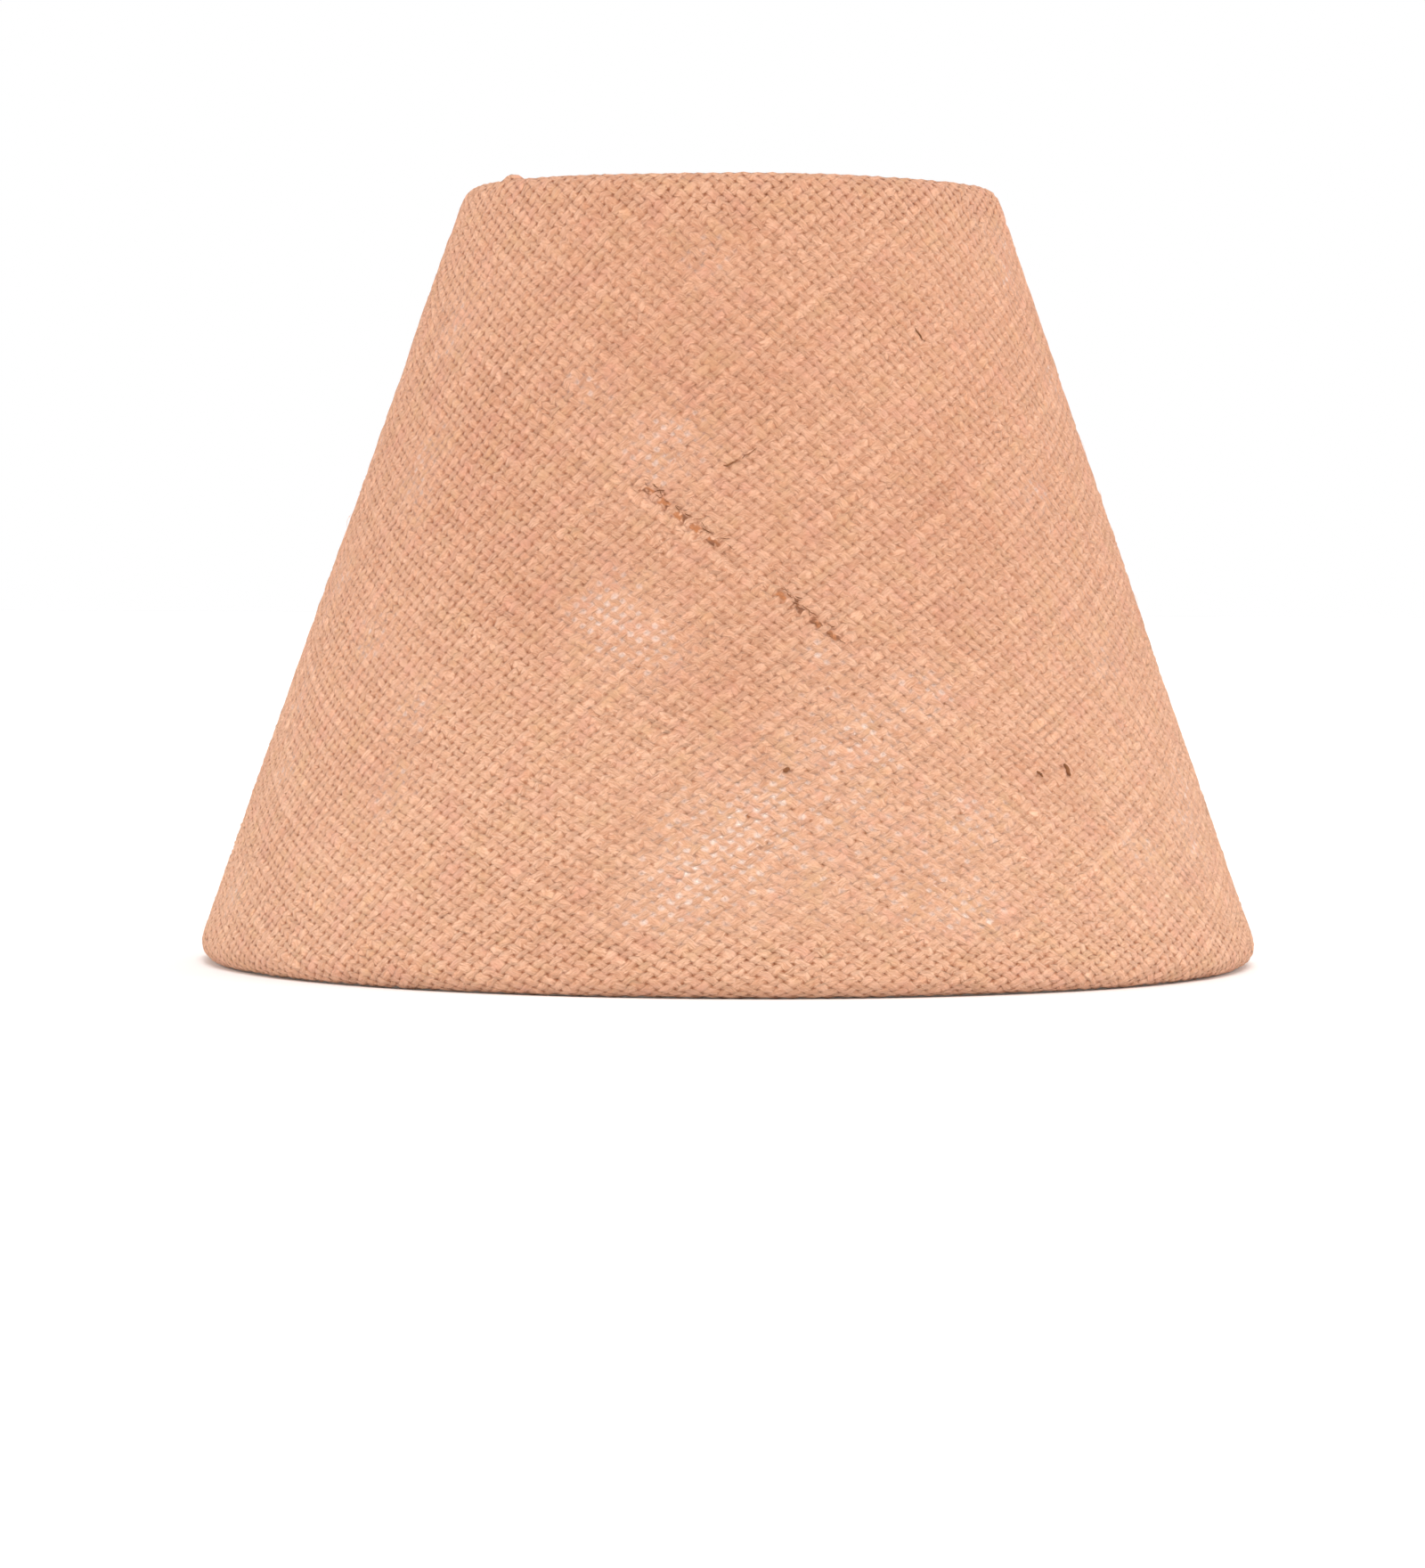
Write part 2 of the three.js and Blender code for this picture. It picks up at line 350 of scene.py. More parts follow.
def weaveNet():
    rng = np.random.default_rng(cloth["seed"])
    half = cloth["halfSteps"]
    overPlaces, overHeading = threadCurve(cloth["overDirection"], cloth["overBend"], half)
    underPlaces, underHeading = threadCurve(cloth["underDirection"], cloth["underBend"], half)
    count = 2 * half + 1
    overWander = threadWander(rng, count, count, cloth["waviness"])
    overWander += rng.normal(size=(count, 1)) * cloth["jitter"]
    underWander = threadWander(rng, count, count, cloth["waviness"])
    underWander += rng.normal(size=(count, 1)) * cloth["jitter"]
    x = cloth["netCentre"][0] + overPlaces[:, None, 0] + underPlaces[None, :, 0]
    y = cloth["netCentre"][1] + overPlaces[:, None, 1] + underPlaces[None, :, 1]
    x = x - overHeading[:, None, 1] * overWander.T - underHeading[None, :, 1] * underWander
    y = y + overHeading[:, None, 0] * overWander.T + underHeading[None, :, 0] * underWander
    numbers = (np.arange(count) - half) / 2
    return x, y, numbers


def clothGrid():  # vertices at the crossings and at the gaps' centres, and a diamond for each thread's span
    x, y, numbers = weaveNet()
    angle, station = flatToPolar(x, y)
    beyond, beside = 4, 0.06  # mm and radians of net to spare round the cut
    kept = (station > lowestStation - beyond) & (station < highestStation + beyond)
    kept &= (angle > startAngle - beside) & (angle < endAngle + beside)
    rows, columns = np.meshgrid(np.arange(len(numbers)), np.arange(len(numbers)), indexing="ij")
    crossing = (rows % 2 == 0) & (columns % 2 == 0)
    gap = (rows % 2 == 1) & (columns % 2 == 1)
    used = kept & (crossing | gap)
    index = np.full(used.shape, -1)
    index[used] = np.arange(used.sum())
    u, v = numbers[rows[used]], numbers[columns[used]]
    crest = np.where(crossing[used], 1.0, -1.0)
    faces = []
    for parity in (0, 1):  # thread spans along the first way, then along the second
        r, c = np.nonzero((rows % 2 != parity) & (columns % 2 == parity))
        inside = (r > 0) & (r < len(numbers) - 1) & (c > 0) & (c < len(numbers) - 1)
        r, c = r[inside], c[inside]
        faces.append(np.stack([index[r - 1, c], index[r, c + 1], index[r + 1, c], index[r, c - 1]], axis=1))
    faces = np.concatenate(faces)
    faces = faces[(faces >= 0).all(axis=1)]
    return angle[used], station[used], np.stack([u, v, crest], axis=1), faces


layoutRadius = 150.0  # mm for one radian while the cloth is trimmed
armAngles = (-math.pi / 3, math.pi / 3, math.pi)


def trimmedCloth():
    angle, station, weave, faces = clothGrid()
    points = np.stack([angle * layoutRadius, station, np.zeros_like(angle)], axis=1)
    mesh = bpy.data.meshes.new("cover_cloth")
    mesh.from_pydata(points.tolist(), [], faces.tolist())
    numbered = mesh.attributes.new("weave", "FLOAT_VECTOR", "POINT")
    numbered.data.foreach_set("vector", weave.astype(np.float32).ravel())
    work = bmesh.new()
    work.from_mesh(mesh)

    def cut(place, normal, clear=True, geometry=None):
        chosen = geometry or work.verts[:] + work.edges[:] + work.faces[:]
        bmesh.ops.bisect_plane(
            work, geom=chosen, plane_co=place, plane_no=normal, clear_outer=clear, dist=0.02)

    cut((startAngle * layoutRadius, 0, 0), (-1, 0, 0))
    cut((endAngle * layoutRadius, 0, 0), (1, 0, 0))
    rawEdge = 0.3  # mm trimmed from both ends of its line
    cut((0, lowestStation + rawEdge, 0), (0, -1, 0))
    cut((0, highestStation - rawEdge, 0), (0, 1, 0))
    turn = math.pi * cloth["foldRadius"] / clothRadius(slant / 2)
    for share in (0, 0.35, 0.7, 1):  # lines along the fold, so that it bends cleanly
        cut(((foldAngle + turn * share) * layoutRadius, 0, 0), (1, 0, 0), clear=False)
    trimNotches(work, cut)
    work.normal_update()
    if sum(f.normal.z for f in work.faces) < 0:
        bmesh.ops.reverse_faces(work, faces=work.faces[:])
    work.to_mesh(mesh)
    work.free()
    return mesh


def facesNear(work, middle, wide, top):
    return [f for f in work.faces if abs(f.calc_center_median().x - middle) < wide
            and f.calc_center_median().y < top]


def trimNotches(work, cut):  # the turned-in cloth is cut away round each arm, from its raw edge to the ring
    top = cloth["notchTop"]
    wide = cloth["notchHalf"] * (layoutRadius / clothRadius(top))
    around = 4  # mm of cloth beside the notch that the cuts may cross
    for angle in armAngles:
        middle = angle * layoutRadius
        for place, normal in (((middle - wide, 0, 0), (1, 0, 0)), ((middle + wide, 0, 0), (1, 0, 0)),
                              ((0, top, 0), (0, 1, 0))):
            faces = facesNear(work, middle, wide + around, top + around)
            edges = {e for f in faces for e in f.edges}
            points = {v for f in faces for v in f.verts}
            cut(place, normal, False, list(points) + list(edges) + faces)
        bmesh.ops.delete(work, geom=facesNear(work, middle, wide, top), context="FACES")


def betweenRims(station, fromBottom, fromTop):  # eased to 0 at both rims, over these mm from each
    return smoothStep(station, *fromBottom) * smoothStep(slant - station, *fromTop)


def seamShape(angle, station):  # the lapped edge: how far round it moves, how far out it stands
    radius = clothRadius(station)
    ply = cloth["foldRadius"]
    lapStart = foldAngle - cloth["lap"]
    underStart = foldAngle - cloth["foldUnder"]
    turned = np.where(angle < 0, angle + 2 * math.pi, angle)
    overLap, overUnder = cloth["plies"]
    rises, isUp = cloth["lapEase"]
    piled = ply * overLap * smoothStep(turned, lapStart - rises, lapStart - isUp)
    piled += ply * overUnder * smoothStep(turned, underStart - cloth["foldEase"], underStart)
    underneath = angle < 0
    levelling = smoothStep(-turned, -foldAngle - cloth["underEase"], -foldAngle)
    piled = np.where(underneath, piled * levelling, piled)
    # Over the rings there is room beneath, so the layers sink there until the outer one lies level
    onRoll = 0
    for beyond, sink in ((-station, cloth["bottomSink"]), (station - slant, cloth["topSink"])):
        onRoll = onRoll + smoothStep(beyond, *cloth["sinkStart"]) * (1 - smoothStep(beyond, *sink))
    out = np.where(underneath, -piled * onRoll, piled * (1 - onRoll))
    past = np.where(underneath, 0, np.maximum(angle - foldAngle, 0)) * radius
    bend = np.minimum(past / ply, math.pi)
    back = np.maximum(past - math.pi * ply, 0)
    moved = np.where(past > 0, foldAngle + (ply * np.sin(bend) - back) / radius, angle)
    return moved, out - ply * (1 - np.cos(bend)), past > 0


def pointValues(source, name, count):  # three numbers for each point
    values = np.zeros(count * 3, np.float32)
    source.foreach_get(name, values)
    return values.reshape(-1, 3).astype(float)


def shapeCloth(mesh):
    rng = np.random.default_rng(cloth["seed"] + 1)
    count = len(mesh.vertices)
    points = pointValues(mesh.vertices, "co", count)
    weave = pointValues(mesh.attributes["weave"].data, "vector", count)
    angle, station = points[:, 0] / layoutRadius, points[:, 1]
    flatX, flatY = polarToFlat(angle, station)
    moved, seamOut, folded = seamShape(angle, station)
    slack = saveClothFields(mesh, flatX, flatY, station)
    # Each thread is its own thickness, so each crossing stands a little differently
    yarns = 1000
    coarse = rng.normal(size=(2, yarns))
    uneven = 1
    for family in (0, 1):
        number = np.rint(weave[:, family]).astype(int) % yarns
        uneven = uneven + cloth["yarnUneven"] * coarse[family, number]
    uneven = np.clip(uneven + cloth["crossingUneven"] * rng.normal(size=count), 0.3, 1.6)
    relief = cloth["relief"] * weave[:, 2] * uneven * np.where(folded, 0.4, 1)  # pressed flatter in the fold
    relief *= 1 - 0.5 * slack
    relief *= 0.5 + 0.5 * betweenRims(station, (-5, 5), (-5, 5))  # drawn tight on the rims
    slow = np.zeros(count)
    for _ in range(cloth["swells"]):
        wave = rng.uniform(*cloth["swellSpan"])
        heading, phase = rng.uniform(0, 2 * math.pi, 2)
        across = flatX * math.cos(heading) + flatY * math.sin(heading)
        slow += np.sin(across * 2 * math.pi / wave + phase)
    out = seamOut + relief + cloth["swellSize"] * slow
    # A tuck of cloth stands up where it turns over the top ring
    fromTuck = (angle - math.radians(cloth["tuckAngle"])) * cloth["tuckRadius"]
    pastTuck = station - slant - cloth["tuckPast"]
    out = out + cloth["tuckHeight"] * np.exp(
        -(fromTuck / cloth["tuckWidth"]) ** 2 - (pastTuck / cloth["tuckLength"]) ** 2)
    placed = ontoShade(moved, station, out)
    # The lowest crests lie flat where the shade stands
    placed[:, 2] = np.clip(placed[:, 2], cadLow.z, cadHigh.z + cloth["tuckHeight"] * mm)
    mesh.vertices.foreach_set("co", placed.astype(np.float32).ravel())
    mesh.update()


# Patches on the flat cloth: the place and the size of each, in mm
patches = dict(
    slack=[  # where the weave has opened and the liner shows
        (-14, 158, 9), (-7, 207, 7), (-39, 173, 8), (-34, 111, 11), (-92, 90, 8),
        (-98, 70, 8), (-16, 96, 9), (25, 95, 7), (54, 88, 9), (37, 75, 8),
        (7, 49, 10), (-9, 33, 12), (-23, 17, 12), (67, 26, 10), (69, 54, 9),
    ],
    wideSlack=[(28, 60, 24), (0, 40, 22), (52, 32, 18), (-30, 100, 12), (-20, 150, 12)],
    slackStrength=0.6, wideStrength=0.5,
    others=60, otherSizes=(6, 12), otherStrength=0.5,  # slack places on the sides and the back
    offFront=0.9, offRims=5,                           # radians and mm that those keep away
    dark=[(0, 182, 20), (0, 90, 14), (-40, 200, 16)], darkStrength=0.6,  # warmer, darker mottling
    paintedShadeUp=1.05, paintedShadeUpSpan=(15, 140),                 # painted shade: the whole cloth is darker toward the top
    pitShadeLeft=0.8, pitShadeLeftSpan=(15, 75),               # painted shade: the pits of the weave are browner at the left
    slackFromRims=((4, 16), (2, 14)), pitShadeFromRims=((3, 14), (3, 16)),  # mm from the bottom and the top; the pits are browner along both rims too
    slub=[((-26, 147), (1, 123.5)), ((11, 115.5), (31, 99))],  # one coarse brown yarn: its two stretches
)


def spots(places, flatX, flatY):
    field = np.zeros(len(flatX))
    for x, y, size in places:
        field += np.exp(-((flatX - x) ** 2 + (flatY - y) ** 2) / size ** 2)
    return field


def saveClothFields(mesh, flatX, flatY, station):  # kept on the cloth's points for its material to read
    rng = np.random.default_rng(cloth["seed"] + 2)
    count, offFront, offRims = patches["others"], patches["offFront"], patches["offRims"]
    angles = rng.uniform(offFront, 2 * math.pi - offFront, count)
    angles = np.where(angles > math.pi, angles - 2 * math.pi, angles)
    otherX, otherY = polarToFlat(angles, rng.uniform(offRims, slant - offRims, count))
    others = np.stack([otherX, otherY, rng.uniform(*patches["otherSizes"], count)], axis=1)
    slack = 0
    for places, strength in ((patches["slack"], patches["slackStrength"]), (others, patches["otherStrength"]),
                             (patches["wideSlack"], patches["wideStrength"])):
        slack = slack + strength * spots(places, flatX, flatY)
    slack = np.clip(slack * betweenRims(station, *patches["slackFromRims"]), 0, 1)
    dark = patches["darkStrength"] * spots(patches["dark"], flatX, flatY)
    # Painted shade: the cloth darkens toward the top, added to the mottling
    dark += patches["paintedShadeUp"] * smoothStep(station, *patches["paintedShadeUpSpan"])
    # Painted shade in the pits of the weave: browner to the left of the front, and along both rims
    pitShade = patches["pitShadeLeft"] * smoothStep(-flatX, *patches["pitShadeLeftSpan"])
    pitShade = pitShade + 1 - betweenRims(station, *patches["pitShadeFromRims"])
    slub = np.zeros(len(flatX))
    for start, end in patches["slub"]:
        start, end = np.array(start), np.array(end)
        reach = np.linalg.norm(end - start)
        share = ((flatX - start[0]) * (end - start)[0] + (flatY - start[1]) * (end - start)[1]) / reach
        slub += smoothStep(share, -1, 3) * smoothStep(reach - share, -1, 3)
    fields = {"slack": slack, "dark": np.clip(dark, 0, 1.3), "slub": np.clip(slub, 0, 1),
              "pitShade": np.clip(pitShade, 0, 1) * (1 - slack)}
    for name, values in fields.items():
        mesh.attributes.new(name, "FLOAT", "POINT").data.foreach_set("value", values.astype(np.float32))
    flat = np.stack([flatX, flatY, np.zeros_like(flatX)], axis=1).astype(np.float32)
    mesh.attributes.new("flat", "FLOAT_VECTOR", "POINT").data.foreach_set("vector", flat.ravel())
    return slack


def threadThrough(place):  # the number of the yarn that runs up to the left through a flat place
    x, y, numbers = weaveNet()
    nearest = np.hypot(x - place[0], y - place[1])[::2, :].argmin()
    column = nearest % len(numbers)
    return float(np.rint(numbers[column]))


# The cloth's colours, and how much its surface stands up and its yarns stray
jute = dict(
    threadDark="d69c7a", threadPale="f6c5a5", pink="e9ac93", straw="e4b48a",
    # Painted shade: browns for the shadow in the weave's pits and on its gap floors, and darker ones where
    # the pit shade is strong
    shadow="bd8464", gap="a06a48", deepShadow="a06444", deepGap="7c4628",
    showing="fee2d2",                    # the pale liner, seen through the gaps
    bark="7c4628", barkPale="c47c4c",    # the slub
    mottleAndShadeTint="c98a66",                  # laid over all of it where the cloth is darker: mottling, and painted shade toward the top
    sheenTint="ffe4d6",
    bumpHeight=0.95, straying=0.36,      # mm, and shares of a thread's spacing
)


def threadGroup():  # one family of threads: how high it stands, how pale it is, and its fibres
    group = bpy.data.node_groups.new("thread_over_and_under", "ShaderNodeTree")
    for name in ("Along", "Across", "Turn", "Slack"):
        group.interface.new_socket(name, in_out="INPUT", socket_type="NodeSocketFloat")
    for name in ("Height", "Tone", "Fibre", "Number", "Off Centre"):
        group.interface.new_socket(name, in_out="OUTPUT", socket_type="NodeSocketFloat")
    given = group.nodes.new("NodeGroupInput").outputs
    made = {name: given[name] for name in ("Along", "Across", "Turn", "Slack")}
    # Arithmetic, one step to a line: the new value's name, the operation and what it works on
    for name, operation, *values in [
        ("number", "ROUND", "Across"),
        ("side", "SUBTRACT", "Across", "number"),
        ("count", "ADD", "Along", "number"),
        ("crossing", "ADD", "count", "Turn"),
        ("phase", "MULTIPLY", "crossing", math.pi),
        ("lift", "COSINE", "phase"),
        ("kind", "MULTIPLY", "Turn", 37.7),
        ("lane", "MULTIPLY_ADD", "number", 5.3, "kind"),
        ("slowAlong", "MULTIPLY", "Along", 0.8),
        ("twist", "MULTIPLY", "side", 7.0),
        ("slanted", "MULTIPLY_ADD", "Along", 1.3, "twist"),
        ("fibreAlong", "MULTIPLY", "Along", 1.9),
    ]:
        values = [made.get(value, value) for value in values]
        made[name] = addNode(group, "ShaderNodeMath", {"operation": operation}, values).outputs[0]
    seed = addNode(group, "ShaderNodeCombineXYZ", {}, {"X": made["number"], "Y": made["kind"]})
    perThread = addNode(group, "ShaderNodeTexWhiteNoise", {"noise_dimensions": "3D"}, {
        "Vector": seed.outputs[0]})
    own = addNode(group, "ShaderNodeSeparateColor", {}, {"Color": perThread.outputs["Color"]})
    slowPlace = addNode(group, "ShaderNodeCombineXYZ", {}, {"X": made["slowAlong"], "Y": made["lane"]})
    slow = addNode(group, "ShaderNodeTexNoise", {}, {
        "Vector": slowPlace.outputs[0], "Scale": 1.0, "Detail": 2.0})
    slowParts = addNode(group, "ShaderNodeSeparateColor", {}, {"Color": slow.outputs["Color"]})
    # Twisted fibres: long along the yarn, and slanted by its twist
    fibrePlace = addNode(group, "ShaderNodeCombineXYZ", {}, {
        "X": made["fibreAlong"], "Y": made["slanted"], "Z": made["lane"]})
    fibre = addNode(group, "ShaderNodeTexNoise", {}, {
        "Vector": fibrePlace.outputs[0], "Scale": 1.0, "Detail": 3.0, "Roughness": 0.65})
    made["ownWidth"], made["ownTone"] = own.outputs[0], own.outputs[1]
    made["slowWidth"], made["slowTone"] = slowParts.outputs[0], slowParts.outputs[1]
    made["fibre"] = fibre.outputs["Fac"]
    # Thick and thin places along the yarn, thinner again where the cloth is slack; then its round top
    for name, operation, *values in [
        ("width", "MULTIPLY_ADD", "ownWidth", 0.07, 0.305),
        ("width", "MULTIPLY_ADD", "slowWidth", 0.36, "width"),
        ("width", "MULTIPLY_ADD", "Slack", -0.09, "width"),
        ("shareOut", "DIVIDE", "side", "width"),
        ("squared", "MULTIPLY", "shareOut", "shareOut"),
        ("inside", "SUBTRACT", 1.0, "squared"),
        ("inside", "MAXIMUM", "inside", 0.0),
        ("body", "POWER", "inside", 0.75),
        ("rise", "MULTIPLY", "lift", 0.42),
        ("rise", "MULTIPLY", "rise", "body"),
        ("height", "MULTIPLY_ADD", "body", 0.75, "rise"),
        ("height", "SUBTRACT", "height", 0.35),
        ("hair", "SUBTRACT", "fibre", 0.5),
        ("hair", "MULTIPLY", "hair", 0.95),
        ("height", "MULTIPLY_ADD", "hair", "body", "height"),
        ("tone", "MULTIPLY", "slowTone", 0.82),
        ("tone", "MULTIPLY_ADD", "ownTone", 0.18, "tone"),
        ("offCentre", "ABSOLUTE", "side"),
    ]:
        values = [made.get(value, value) for value in values]
        made[name] = addNode(group, "ShaderNodeMath", {"operation": operation}, values).outputs[0]
    addNode(group, "NodeGroupOutput", {}, [
        made["height"], made["tone"], made["fibre"], made["number"], made["offCentre"]])
    return group


def juteHessian():
    # Plain-woven jute yarn, dyed a pale terracotta: matt and dusty, each yarn a little thicker, thinner,
    # paler or browner than the next, with painted shade brown in the pits of the weave and toward the top,
    # and pale where the liner shows through
    material, tree = newMaterial("jute_hessian_plain_weave")
    made = {}
    # The dark field carries mottling and painted shade toward the top; the last carries painted shade in the
    # pits
    for name in ("slack", "dark", "slub", "pitShade"):
        made[name] = addNode(tree, "ShaderNodeAttribute", {"attribute_name": name}).outputs["Fac"]
    weave = addNode(tree, "ShaderNodeAttribute", {"attribute_name": "weave"}).outputs["Vector"]
    flat = addNode(tree, "ShaderNodeAttribute", {"attribute_name": "flat"}).outputs["Vector"]
    # Noises on the flat cloth: the yarns' straying, blotches, broad mottling, broken slub, bare gaps
    for name, scale, detail in [
        ("stray", 0.30, 4.0), ("blotch", 0.11, 2.0), ("fine", 0.30, 2.0), ("broad", 0.022, 3.0),
        ("broken", 0.55, 1.0), ("bare", 0.31, 1.0),
    ]:
        noise = addNode(tree, "ShaderNodeTexNoise", {}, {"Vector": flat, "Scale": scale, "Detail": detail})
        made[name] = noise.outputs["Fac"]
        made[name + "Colour"] = noise.outputs["Color"]
    centred = addNode(tree, "ShaderNodeVectorMath", {"operation": "SUBTRACT"}, [
        made["strayColour"], (0.5, 0.5, 0.5)]).outputs[0]
    strayed = addNode(tree, "ShaderNodeVectorMath", {"operation": "MULTIPLY_ADD"}, [
        centred, (jute["straying"],) * 3, weave]).outputs[0]
    # Single gaps that have opened: a chance for each gap, and the distance from its middle
    level = addNode(tree, "ShaderNodeVectorMath", {"operation": "MULTIPLY"}, [
        strayed, (1.0, 1.0, 0.0)]).outputs[0]
    whole = addNode(tree, "ShaderNodeVectorMath", {"operation": "FLOOR"}, [level]).outputs[0]
    part = addNode(tree, "ShaderNodeVectorMath", {"operation": "FRACTION"}, [level]).outputs[0]
    fromGap = addNode(tree, "ShaderNodeVectorMath", {"operation": "DISTANCE"}, [part, (0.5, 0.5, 0.0)])
    made["fromGap"] = fromGap.outputs["Value"]
    made["chance"] = addNode(tree, "ShaderNodeTexWhiteNoise", {}, {"Vector": whole}).outputs["Value"]
    place = addNode(tree, "ShaderNodeSeparateXYZ", {}, {"Vector": strayed})
    u, v = place.outputs["X"], place.outputs["Y"]
    group = threadGroup()
    over = addNode(tree, "ShaderNodeGroup", {"node_tree": group}, {
        "Along": u, "Across": v, "Slack": made["slack"]})
    under = addNode(tree, "ShaderNodeGroup", {"node_tree": group}, {
        "Along": v, "Across": u, "Turn": 1.0, "Slack": made["slack"]})
    made["overHeight"], made["underHeight"] = over.outputs["Height"], under.outputs["Height"]
    made["overNumber"], made["overSide"] = over.outputs["Number"], over.outputs["Off Centre"]
    for name, operation, *values in [
        ("height", "MAXIMUM", "overHeight", "underHeight"),
        ("underWins", "GREATER_THAN", "underHeight", "overHeight"),
        ("overWins", "SUBTRACT", 1.0, "underWins"),
        ("slubYarn", "COMPARE", "overNumber", threadThrough(patches["slub"][0][1]), 0.5),
        ("slubYarn", "MULTIPLY", "slubYarn", "overWins"),
        ("slubYarn", "MULTIPLY", "slubYarn", "slub"),
    ]:
        values = [made.get(value, value) for value in values]
        made[name] = addNode(tree, "ShaderNodeMath", {"operation": operation}, values).outputs[0]
    for name in ("Tone", "Fibre"):
        made[name] = addNode(tree, "ShaderNodeMix", {}, {
            "Factor": made["underWins"], "A": over.outputs[name], "B": under.outputs[name]}).outputs["Result"]
    for name, operation, *values in [
        ("tone", "MULTIPLY", "Tone", 0.45),
        ("tone", "MULTIPLY_ADD", "Fibre", 1.1, "tone"),
        # darker: the mottling together with the painted shade toward the top
        ("darker", "MULTIPLY", "dark", 0.16),
        ("opened", "MULTIPLY", "slack", 0.8),
        ("opened", "SUBTRACT", "opened", "chance"),
    ]:
        values = [made.get(value, value) for value in values]
        made[name] = addNode(tree, "ShaderNodeMath", {"operation": operation}, values).outputs[0]
    # How strong each change of colour is: a value eased between two limits, up to a greatest strength
    for name, value, low, high, most in [
        ("paleYarn", "tone", 0.50, 1.02, 1.0), ("pinkPatch", "blotch", 0.52, 0.72, 0.5),
        ("strawPatch", "blotch", 0.48, 0.28, 0.5), ("finePatch", "fine", 0.42, 0.72, 0.35),
        ("broadPatch", "broad", 0.45, 0.75, 0.12), ("slubBreak", "broken", 0.34, 0.50, 0.85),
        ("slubEdge", "overSide", 0.42, 0.22, 1.0),
        ("barkPale", "bare", 0.42, 0.60, 1.0), ("bareGap", "bare", 0.34, 0.58, 1.0),
        ("openGap", "opened", -0.15, 0.45, 0.6), ("gapMiddle", "fromGap", 0.42, 0.15, 1.0),
        ("depth", "height", -0.18, 0.50, 1.0), ("open", "height", -0.34, -0.12, 1.0),
    ]:
        made[name] = addNode(tree, "ShaderNodeMapRange", {"interpolation_type": "SMOOTHSTEP"}, {
            "Value": made[value], "From Min": low, "From Max": high, "To Max": most}).outputs["Result"]
    for name, operation, *values in [
        ("slubYarn", "MULTIPLY", "slubYarn", "slubBreak"),
        ("slubYarn", "MULTIPLY", "slubYarn", "slubEdge"),
        ("bareDot", "MULTIPLY", "openGap", "gapMiddle"),
        ("showing", "MULTIPLY", "slack", "bareGap"),
        ("showing", "MINIMUM", "showing", 1.0),
        ("lighter", "MULTIPLY", "showing", 0.6),
        ("darker", "ADD", "darker", "broadPatch"),
    ]:
        values = [made.get(value, value) for value in values]
        made[name] = addNode(tree, "ShaderNodeMath", {"operation": operation}, values).outputs[0]
    colour = {name: linearColour(value) for name, value in jute.items() if isinstance(value, str)}
    # Colours laid one over another: name, blend, strength, the colour beneath and the colour above
    for name, blend, strength, beneath, above in [
        ("yarn", "MIX", "paleYarn", "threadDark", "threadPale"),
        ("yarn", "MIX", "pinkPatch", "yarn", "pink"),
        ("yarn", "MIX", "strawPatch", "yarn", "straw"),
        ("yarn", "MIX", "finePatch", "yarn", "threadDark"),
        ("bark", "MIX", "barkPale", "bark", "barkPale"),
        ("yarn", "MIX", "slubYarn", "yarn", "bark"),
        # Painted shade from here to the surface: brown shadow in the pits and on the gap floors, browner
        # where the pit shade is strong, paler where the liner shows
        ("shadow", "MIX", "pitShade", "shadow", "deepShadow"),
        ("gap", "MIX", "pitShade", "gap", "deepGap"),
        ("shadow", "MIX", "lighter", "shadow", "showing"),
        ("pitted", "MIX", "depth", "shadow", "yarn"),
        ("floor", "MIX", "showing", "gap", "showing"),
        ("surface", "MIX", "open", "floor", "pitted"),
        ("surface", "MIX", "bareDot", "surface", "showing"),
        # Painted shade toward the top, with the mottling, multiplied over the whole cloth
        ("surface", "MULTIPLY", "darker", "surface", "mottleAndShadeTint"),
    ]:
        colour[name] = addNode(tree, "ShaderNodeMix", {"data_type": "RGBA", "blend_type": blend}, {
            "Factor": made[strength], "A": colour[beneath], "B": colour[above]}).outputs["Result"]
    bump = addNode(tree, "ShaderNodeBump", {}, {
        "Height": made["height"], "Distance": jute["bumpHeight"] * mm, "Strength": 1.0})
    shader = addNode(tree, "ShaderNodeBsdfPrincipled", {}, {
        "Base Color": colour["surface"], "Normal": bump.outputs["Normal"], "Roughness": 0.95,
        "Specular IOR Level": 0.15, "Sheen Weight": 0.25, "Sheen Roughness": 0.45})
    shader.inputs["Sheen Tint"].default_value = colour["sheenTint"]
    addNode(tree, "ShaderNodeOutputMaterial", {}, {"Surface": shader.outputs["BSDF"]})
    return material


# Bark, frayed ends and stray fibres lie on the face of the cloth
def flatToShade(x, y, out):
    angle, station = flatToPolar(np.asarray(x, float), np.asarray(y, float))
    return ontoShade(angle, station, out)


def addSpindle(work, places, thickness, sides):  # a thin fibre through the places, tapered to both ends
    places = [Vector(p) for p in places]
    last = len(places) - 1
    loops = []
    for i, place in enumerate(places):
        along = (places[min(i + 1, last)] - places[max(i - 1, 0)]).normalized()
        side = along.orthogonal().normalized()
        other = along.cross(side)
        radius = thickness / 2 * (0.25 + 0.75 * math.sin(math.pi * (i + 0.5) / (last + 1)))
        turns = [2 * math.pi * k / sides for k in range(sides)]
        loops.append([
            work.verts.new(place + (side * math.cos(t) + other * math.sin(t)) * radius) for t in turns])
    for a, b in zip(loops, loops[1:]):
        for k in range(sides):
            work.faces.new((a[k], a[(k + 1) % sides], b[(k + 1) % sides], b[k]))
    work.faces.new(loops[0][::-1])
    work.faces.new(loops[-1])


